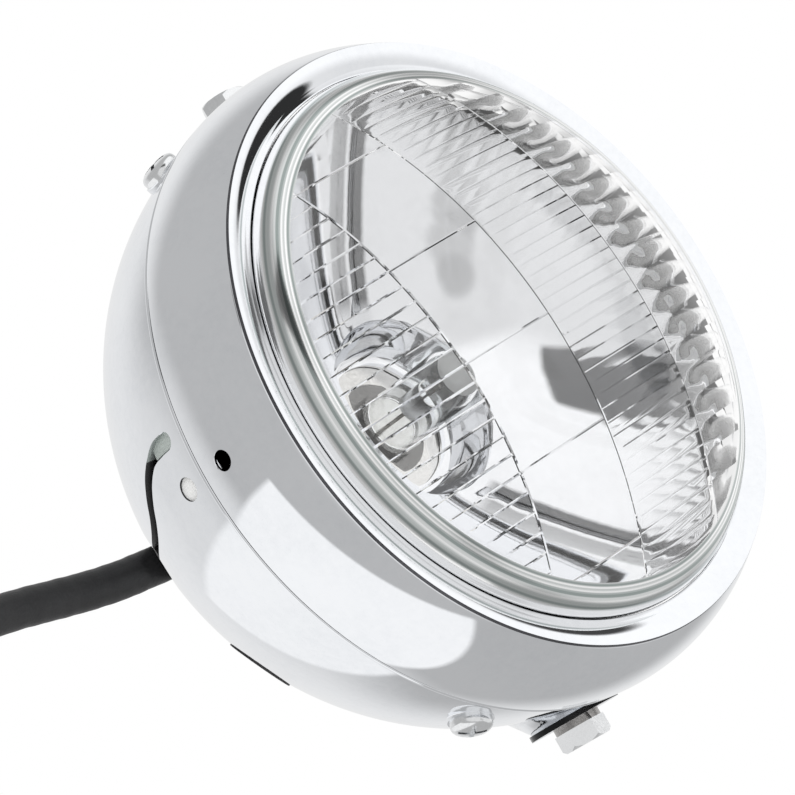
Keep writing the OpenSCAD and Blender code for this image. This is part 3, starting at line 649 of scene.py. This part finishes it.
# Reflector: drawn steel with a silvered mirror coat. A flat flange meets the rubber, the bowl of it is a
# parabola, two folds cross it at the sides, and a well holds the bulb.
FOLDS = (14, 171)  # degrees from +X, seen from the front
FOLD_LOW = -9
FOLD_RISE = 0.086
FOLD_HEIGHT = 1.2
FOLD_HALF = 4
FOLD_REACH = (29, 76)  # the folds run between these radii, and rise over FOLD_RUN at each end
FOLD_RUN = 5
FOLD_SHADE_REACH = (-6.5, 8.5)  # the bands of painted shade beside a fold, below and above its line
MIRROR_DEEP = 49.1
MIRROR_CURVE = 156  # four times the parabola's focal length
MIRROR_R = 78
WELL_R = 27
PILOT_R = 40
PILOT_HOLE_R = 5


def fold_lines(roll):
    """For each fold, its direction out from the bulb and the direction across it, upwards."""
    for fold in FOLDS:
        a = math.radians(fold)
        along = Vector((math.cos(a), 0, math.sin(a)))
        across = Vector((-math.sin(a), 0, math.cos(a))) * (1 if math.cos(a) > 0 else -1)
        yield [Matrix.Rotation(roll, 3, "Y") @ way for way in (along, across - FOLD_RISE * along)]


def reflector_at(r):
    """Depth of the mirror's parabola."""
    return MIRROR_DEEP - r * r / MIRROR_CURVE


reflector_line = ([(86.6, 9.1), (79.2, 9.1), (78.4, 9.4)]
                  + [(r, reflector_at(r)) for r in (MIRROR_R + (WELL_R - MIRROR_R) * i / 48 for i in range(49))]
                  + [(26.6, 44.9), (26.2, 45.8), (25.4, 48.4), (23.8, 53), (22.6, 56), (21.8, 57), (20.6, 57.4),
                     (19, 57.4)])
silvered_steel = finish_of("silvered_steel", (0.935, 0.945, 0.965), (0.895, 0.905, 0.925), 0.03, 0.06, 300, 1.0,
                           0.01, 0.0002)
bm = bmesh.new()
turned(bm, reflector_line + [(19, 58.2)] + inward(reflector_line, -0.8)[::-1][1:-1] + [(86.6, 9.9)], 540)
for v in bm.verts:
    r = math.hypot(v.co.x, v.co.z) * 1000
    if FOLD_REACH[0] < r < FOLD_REACH[1]:
        ends = min((r - FOLD_REACH[0]) / FOLD_RUN, (FOLD_REACH[1] - r) / FOLD_RUN, 1)
        for along, across in fold_lines(0):
            off = v.co.dot(across) * 1000 - FOLD_LOW
            if v.co.dot(along) > 0:
                v.co.y -= FOLD_HEIGHT / 1000 * ends * max(0.0, 1 - (off / FOLD_HALF) ** 2)
bmesh.ops.rotate(bm, verts=bm.verts, cent=(0, 0, 0), matrix=Matrix.Rotation(GLASS_ROLL, 3, "Y"))
mirror = new_piece("mirror", bm, silvered_steel, 30)


def share_along(tree, place, way, low, high, form="LINEAR"):
    """A share that grows along a direction, from 0 at low to 1 at high."""
    dot = tree.nodes.new("ShaderNodeVectorMath")
    dot.operation = "DOT_PRODUCT"
    feed(tree, dot.inputs[0], place)
    feed(tree, dot.inputs[1], way)
    return ramp_of(tree, dot.outputs["Value"], low, high, form)


# Painted shade: beside each fold the mirror's colour is darkened in bands, with a bright line between, standing
# in for the shade of the fold.
tree = silvered_steel.node_tree
paint = tree.nodes["Principled BSDF"].inputs["Base Color"]
silver_and_fold_shade = paint.links[0].from_socket
place = tree.nodes.new("ShaderNodeTexCoord").outputs["Object"]
for along, across in fold_lines(GLASS_ROLL):
    dull_and_painted_shade = tree.nodes.new("ShaderNodeValToRGB")
    dull_and_painted_shade.color_ramp.elements[0].color = grey(1)
    dull_and_painted_shade.color_ramp.elements[1].color = grey(1)
    for spot, tone in ((0.06, 0.62), (0.34, 0.5), (0.4, 1), (0.44, 1), (0.5, 0.25), (0.88, 0.2), (0.97, 0.9)):
        dull_and_painted_shade.color_ramp.elements.new(spot).color = grey(tone)
    low, high = ((FOLD_LOW + reach) / 1000 for reach in FOLD_SHADE_REACH)
    feed(tree, dull_and_painted_shade.inputs[0], share_along(tree, place, across, low, high))
    silver_and_fold_shade = colour_mix(tree, share_along(tree, place, along, 0.029, 0.033), silver_and_fold_shade, dull_and_painted_shade.outputs[0], "MULTIPLY")
feed(tree, paint, silver_and_fold_shade)
bm = bmesh.new()
slope = math.atan(2 * PILOT_R / MIRROR_CURVE)
axis = Vector((0, -math.cos(slope), math.sin(slope)))
pilot_place = axis.to_track_quat("Z", "Y").to_matrix().to_4x4()
pilot_place.translation = mm(0, reflector_at(PILOT_R), -PILOT_R)
pilot_place = Matrix.Rotation(GLASS_ROLL, 4, "Y") @ pilot_place
rod(bm, pilot_place, PILOT_HOLE_R, PILOT_HOLE_R, -10, 10)
combine(mirror, bm, "DIFFERENCE")
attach(mirror, "root")
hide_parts("reflector")

# Small parts that keep the shape of their solids: seal, clips, bulbs, cap, shield, filaments, socket,
# rubbers, bolts, screws, plates, nuts, washers, leads and plug. Each is plated, moulded or drawn, and gets
# its own finish.
CREASE_ANGLE = 32
WELD_DISTANCE = 0.00001
tidy = bpy.data.node_groups.new("weld_and_smooth", "GeometryNodeTree")
tidy.interface.new_socket("Geometry", in_out="INPUT", socket_type="NodeSocketGeometry")
tidy.interface.new_socket("Geometry", in_out="OUTPUT", socket_type="NodeSocketGeometry")
first = tidy.nodes.new("NodeGroupInput")
weld = tidy.nodes.new("GeometryNodeMergeByDistance")
weld.inputs["Distance"].default_value = WELD_DISTANCE
angle = tidy.nodes.new("GeometryNodeInputMeshEdgeAngle")
below = tidy.nodes.new("FunctionNodeCompare")
below.operation = "LESS_THAN"
below.inputs[1].default_value = math.radians(CREASE_ANGLE)
faces = tidy.nodes.new("GeometryNodeSetShadeSmooth")
faces.domain = "FACE"
edges = tidy.nodes.new("GeometryNodeSetShadeSmooth")
edges.domain = "EDGE"
final = tidy.nodes.new("NodeGroupOutput")
tidy.links.new(first.outputs[0], weld.inputs[0])
tidy.links.new(weld.outputs[0], faces.inputs[0])
tidy.links.new(faces.outputs[0], edges.inputs[0])
tidy.links.new(angle.outputs["Unsigned Angle"], below.inputs[0])
tidy.links.new(below.outputs[0], edges.inputs["Shade Smooth"])
tidy.links.new(edges.outputs[0], final.inputs[0])


def dress(node, material):
    """A carried-over solid gets its finish and smooth shading."""
    piece = nodes[node]
    piece.data.materials.clear()
    piece.data.materials.append(material)
    modifier = piece.modifiers.new("weld_and_smooth", "NODES")
    modifier.node_group = tidy


def paint_shade_between(material, keep, low, high, tone):
    """Paints shade into a finish: darkens it between two distances, in mm, from an axis of the lamp."""
    tree = material.node_tree
    paint = tree.nodes["Principled BSDF"].inputs["Base Color"]
    radius = radius_in(tree, tree.nodes.new("ShaderNodeTexCoord").outputs["Object"], keep)
    rise = ramp_of(tree, radius, (low - 0.2) / 1000, low / 1000)
    fall = ramp_of(tree, radius, (high + 0.2) / 1000, high / 1000)
    band = two_by(tree, "MULTIPLY", rise, fall)
    feed(tree, paint, colour_mix(tree, band, paint.links[0].from_socket, grey(tone), "MULTIPLY"))


white_rubber = finish_of("white_rubber", (0.9, 0.91, 0.92), (0.82, 0.83, 0.84), 0.4, 0.55, 900, 0, 0.1)
soft_rubber = finish_of("soft_rubber", (0.03, 0.03, 0.032), (0.06, 0.06, 0.06), 0.6, 0.8, 2200, 0, 0.3, 0.0002)
spring_steel = finish_of("spring_steel", (0.52, 0.52, 0.53), (0.4, 0.4, 0.41), 0.25, 0.45, 1600, 1.0, 0.1)
cap_metal = finish_of("cap_metal", (0.84, 0.835, 0.82), (0.7, 0.69, 0.67), 0.1, 0.2, 700, 1.0, 0.02)
shield_metal = finish_of("shield_metal", (0.86, 0.86, 0.86), (0.74, 0.74, 0.74), 0.12, 0.25, 1800, 1.0, 0.03)
filament = finish_of("filament", (0.35, 0.33, 0.3), (0.25, 0.24, 0.22), 0.35, 0.5, 4000, 1.0, 0.2)
socket_plastic = finish_of("socket_plastic", (0.72, 0.7, 0.62), (0.6, 0.57, 0.5), 0.4, 0.55, 1300, 0, 0.12)
zinc_steel = finish_of("zinc_steel", (0.72, 0.73, 0.74), (0.6, 0.61, 0.62), 0.16, 0.34, 1200, 1.0, 0.1)
bright_steel = finish_of("bright_steel", (0.9, 0.91, 0.92), (0.8, 0.81, 0.82), 0.1, 0.24, 1500, 1.0, 0.08)
dark_spring = finish_of("dark_spring", (0.4, 0.39, 0.38), (0.24, 0.23, 0.22), 0.25, 0.45, 1800, 1.0, 0.15)
washer_steel = finish_of("washer_steel", (0.86, 0.87, 0.88), (0.7, 0.71, 0.72), 0.15, 0.3, 1500, 1.0, 0.08)
# Painted shade: a thin near-black ring on the flat washers, and a darker band round the bulb's cap where its
# recess lies in shade.
paint_shade_between(washer_steel, (0, 1, 1), 13.4, 13.8, 0.03)
paint_shade_between(cap_metal, (1, 0, 1), 8.7, 13.5, 0.3)
lead_red = finish_of("lead_red", (0.42, 0.02, 0.02), (0.3, 0.015, 0.015), 0.35, 0.5, 1800, 0, 0.1)
tie_black = finish_of("tie_black", (0.018, 0.018, 0.019), (0.035, 0.035, 0.036), 0.3, 0.45, 2000, 0, 0.15)
plug_white = finish_of("plug_white", (0.78, 0.78, 0.75), (0.68, 0.67, 0.62), 0.35, 0.5, 1200, 0, 0.12)
brass_pin = finish_of("brass_pin", (0.78, 0.56, 0.24), (0.6, 0.42, 0.2), 0.2, 0.4, 1800, 1.0, 0.08)
bulb_glass, _, shader, _ = material_of("bulb_glass", (0.98, 0.99, 0.99), 0.0)
shader.inputs["Transmission Weight"].default_value = 1.0
shader.inputs["IOR"].default_value = 1.47
for material, dressed in (
        (white_rubber, ("lens_seal",)), (soft_rubber, ("rubber_boot", "slot_grommet", "hole_plug")),
        (spring_steel, ("unit_clips", "bulb_spring", "ring_tabs")), (bulb_glass, ("bulb_glass", "pilot_bulb")),
        (cap_metal, ("bulb_cap", "pilot_holder")), (shield_metal, ("bulb_shield",)), (filament, ("filaments",)),
        (socket_plastic, ("bulb_socket",)), (zinc_steel, ("bolt_plates", "bolt_nuts", "ring_nuts")),
        (washer_steel, ("flat_washers",)), (dark_spring, ("spring_washers",)),
        (bright_steel, ("side_bolts", "ring_screws")), (lead_red, ("inner_leads", "lead_ends")),
        (tie_black, ("cable_tie",)), (plug_white, ("lead_plug",)), (brass_pin, ("plug_pins",))):
    for node in dressed:
        dress(node, material)

# Bulb tip: the grey coat on the front end of the bulb, which hides the filament from the front. It is
# heat-proof paint, built as a thin shell.
BULB_R = 8.56
TIP_DEPTH = 23.35
TIP_LONG = 6
COAT_T = 0.05
tip_grey = finish_of("tip_grey", (0.5, 0.51, 0.51), (0.42, 0.43, 0.43), 0.3, 0.45, 1600, 0.4, 0.1)
bm = bmesh.new()
dome = [(BULB_R * math.cos(a) ** 0.6, TIP_DEPTH + TIP_LONG * (1 - math.sin(a)))
        for a in (math.radians(degrees) for degrees in range(49, 90, 8))]
turned(bm, [(0.01, TIP_DEPTH - 0.01)] + dome[::-1] + [(r - COAT_T, d + COAT_T) for r, d in dome]
       + [(0.01, TIP_DEPTH + 0.04)], 48)
bulb_tip = new_piece("bulb_tip", bm, tip_grey)
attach(bulb_tip, "root")

# Tent: white cloth round the lamp, with grey, black and bright panels that give the chrome its bands. The
# camera looks straight through it at a white background.
world = bpy.data.worlds.new("tent")
bpy.context.scene.world = world
world.use_nodes = True
tree = world.node_tree
background = tree.nodes["Background"]
background.inputs["Color"].default_value = grey(1)
direction = tree.nodes.new("ShaderNodeTexCoord").outputs["Generated"]
CLOTH_TONE = 0.5
EDGE = 0.015  # half the soft edge of a sharp panel


def toward(azimuth, elevation):
    """A direction from the lamp: azimuth from the front towards +X, and elevation."""
    a, e = math.radians(azimuth), math.radians(elevation)
    return (math.sin(a) * math.cos(e), -math.cos(a) * math.cos(e), math.sin(e))


def number_mix(share, first, second):
    """Two numbers of the tent mixed by a share."""
    mix = tree.nodes.new("ShaderNodeMix")
    mix.data_type = "FLOAT"
    for index, value in ((0, share), (2, first), (3, second)):
        feed(tree, mix.inputs[index], value)
    return mix.outputs[0]


def panel(below_it, azimuth, elevation, inner, outer, tone):
    """A soft round panel of the tent, mixed over what is behind it."""
    outer_cos, inner_cos = math.cos(math.radians(outer)), math.cos(math.radians(inner))
    share = share_along(tree, direction, toward(azimuth, elevation), outer_cos, inner_cos, "SMOOTHSTEP")
    return number_mix(share, below_it, tone)


def corner(below_it, sides, tone):
    """A sharp-edged panel of the tent, cut off by planes: each side is a direction and a start."""
    shares = [share_along(tree, direction, way, start - EDGE, start + EDGE) for way, start in sides]
    share = shares[0]
    for other in shares[1:]:
        share = two_by(tree, "MULTIPLY", share, other)
    return number_mix(share, below_it, tone)


# Each panel: azimuth, elevation, where its edge starts and ends, in degrees, and its tone.
tent = panel(CLOTH_TONE, 5, -12, 48, 60, 0.78)
tent = panel(tent, 100, 26, 42, 50, 0.47)
tent = panel(tent, 180, -10, 20, 45, 0.76)
tent = panel(tent, -165, 35, 25, 55, 0.84)
tent = corner(tent, (((1, 0, 0), 0.05), ((0.23, 0.96, 0.18), 0), ((-0.16, 0.18, -0.97), 0.1)), 0.97)
tent = panel(tent, 38, 42, 28, 40, 0.8)
tent = panel(tent, -32, 22, 34, 46, 1.06)
tent = panel(tent, 0, 90, 16, 34, 1.0)
tent = panel(tent, 8, 62, 7, 9, 0.03)
for azimuth, elevation, size, tone in ((37, 6, 11, 0.6), (27, 5, 8, 0.5), (-38, 59, 7, 0.06),
                                       (-28, -20, 9, 0.08), (-36, -16, 8, 0.1), (-42, -11, 5, 0.15)):
    tent = panel(tent, azimuth, elevation, size / 2, size, tone)
tent = corner(tent, (((-0.51, 0.29, -0.81), 0), ((-0.71, -0.03, 0.7), 0), ((0.33, -0.07, -0.94), 0),
                     ((1, 0, 0), -0.72), ((0, -1, 0), 0.5)), 0.12)
seen = tree.nodes.new("ShaderNodeLightPath").outputs["Is Camera Ray"]
feed(tree, background.inputs["Strength"], number_mix(seen, tent, 1.0))

# Floor: a wide, pale, dull cloth under the hanging cable. It shows from above only, and never in the chrome
# or through the glass.
FLOOR_Z = -0.362
bm = bmesh.new()
bmesh.ops.create_grid(bm, x_segments=8, y_segments=8, size=3)
bmesh.ops.translate(bm, verts=bm.verts, vec=(0, 0, FLOOR_Z))
floor_cloth, tree, shader, _ = material_of("floor_cloth", (0.86, 0.86, 0.86), 0.9)
rays = tree.nodes.new("ShaderNodeLightPath")
bounce = two_by(tree, "MAXIMUM", rays.outputs["Is Glossy Ray"], rays.outputs["Is Transmission Ray"])
below = tree.nodes.new("ShaderNodeNewGeometry").outputs["Backfacing"]
clear_where(tree, shader, two_by(tree, "MAXIMUM", below, bounce))
floor_mesh = bpy.data.meshes.new("floor")
bm.to_mesh(floor_mesh)
bm.free()
floor_mesh.materials.append(floor_cloth)
floor = bpy.data.objects.new("floor", floor_mesh)
bpy.context.scene.collection.objects.link(floor)

# Lamps: three large soft boxes round the camera, in front of the tent's cloth. None is mirrored in the
# chrome or seen through the glass.
for name, where, energy, size in (("key_lamp", (-0.9, -1.0, 1.3), 16, 1.2),
                                  ("fill_lamp", (1.2, -0.7, 0.5), 8, 1.4),
                                  ("low_lamp", (0.2, -1.3, -0.9), 6, 1.0)):
    lamp_data = bpy.data.lights.new(name, "AREA")
    lamp_data.energy = energy
    lamp_data.size = size
    lamp = bpy.data.objects.new(name, lamp_data)
    lamp.visible_glossy = False
    lamp.visible_transmission = False
    bpy.context.scene.collection.objects.link(lamp)
    lamp.matrix_world = Matrix.Translation(where) @ Vector(where).to_track_quat("Z", "Y").to_matrix().to_4x4()
